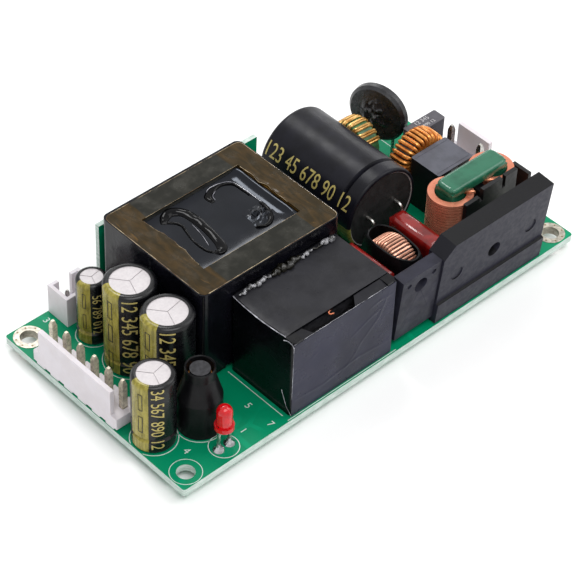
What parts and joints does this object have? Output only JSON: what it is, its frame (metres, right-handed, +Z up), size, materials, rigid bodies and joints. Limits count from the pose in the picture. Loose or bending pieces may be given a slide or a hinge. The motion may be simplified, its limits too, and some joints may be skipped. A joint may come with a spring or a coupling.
{
  "type": "open frame power supply",
  "caption": "Open frame switching supply: components stand on a green circuit board with pin headers at both ends and a screw hole in each corner.",
  "frame": {"origin": "centre of the four corner mounting holes, on the underside of the board", "axes": "+Z up out of the component side, +X along the long side towards the mains header, +Y along the short side away from the edge with the power transistor and bridge rectifier"},
  "size_m": [0.1019, 0.0516, 0.0253],
  "materials": {
    "board_laminate": "green solder mask over glass epoxy, satin gloss",
    "pad_tin": "hot-tinned copper",
    "solder": "bright solder",
    "nylon": "natural white nylon, slightly translucent",
    "tinned_pin": "tin plated brass",
    "can_aluminium": "bare drawn aluminium",
    "sleeve_film": "black shrink film with a dull gold stripe",
    "seal_rubber": "black rubber bung",
    "ferrite": "matt dark grey sintered ferrite",
    "green_core": "green coated ferrite",
    "copper_wire": "enamelled copper, glossy",
    "gold_wire": "enamelled copper, amber enamel",
    "shrink_tube": "black heat shrink tube",
    "led_red": "clear red epoxy",
    "bobbin_plastic": "black phenolic moulding",
    "winding_tape": "black polyester tape over the winding",
    "black_tape": "black polyester tape",
    "amber_tape": "amber polyimide tape",
    "clear_glue": "clear crinkled glue",
    "dark_epoxy": "dark moulded epoxy",
    "box_plastic": "dark grey moulded case",
    "red_dip": "dark red dipped epoxy",
    "disc_coating": "black resin coating"
  },
  "bodies": {
    "root": {"pcb": "board_laminate", "mounting_pads": "pad_tin", "solder_joints": "solder", "smd_parts": "dark_epoxy", "output_header": "nylon", "output_header_pins": "tinned_pin", "aux_header": "nylon", "aux_header_pins": "tinned_pin", "mains_header": "nylon", "mains_header_pins": "tinned_pin", "output_capacitor_cans": "can_aluminium", "output_capacitor_sleeves": "sleeve_film", "filter_capacitor_can": "can_aluminium", "filter_capacitor_sleeve": "sleeve_film", "bias_capacitor_can": "can_aluminium", "bias_capacitor_sleeve": "sleeve_film", "bulk_capacitor_can": "can_aluminium", "bulk_capacitor_sleeve": "sleeve_film", "capacitor_seals": "seal_rubber", "capacitor_leads": "tinned_pin", "rod_choke_core": "ferrite", "rod_choke_winding": "copper_wire", "rod_choke_sleeve": "shrink_tube", "status_light": "led_red", "status_light_leads": "tinned_pin", "transformer_core": "ferrite", "transformer_bobbin": "bobbin_plastic", "transformer_winding": "winding_tape", "transformer_wrap": "black_tape", "transformer_core_tape": "amber_tape", "transformer_pins": "tinned_pin", "boost_choke_core": "ferrite", "boost_choke_bobbin": "bobbin_plastic", "boost_choke_winding": "copper_wire", "boost_choke_wrap": "black_tape", "boost_choke_pins": "tinned_pin", "glue_bead": "clear_glue", "power_transistor": "dark_epoxy", "power_transistor_leads": "tinned_pin", "bridge_rectifier": "dark_epoxy", "bridge_rectifier_leads": "tinned_pin", "line_choke_core": "green_core", "line_choke_coils": "copper_wire", "line_choke_base": "bobbin_plastic", "x_capacitor": "box_plastic", "box_capacitor": "box_plastic", "film_capacitors": "red_dip", "component_leads": "tinned_pin", "ring_choke_core": "ferrite", "ring_choke_winding": "gold_wire", "mains_ring_core": "green_core", "mains_ring_winding": "gold_wire", "sleeved_choke_core": "ferrite", "sleeved_choke_winding": "copper_wire", "sleeved_choke_sleeve": "shrink_tube", "thermistor_disc": "disc_coating", "daughter_board": "board_laminate", "daughter_board_pins": "tinned_pin", "daughter_board_parts": "dark_epoxy"}
  },
  "joints": []
}
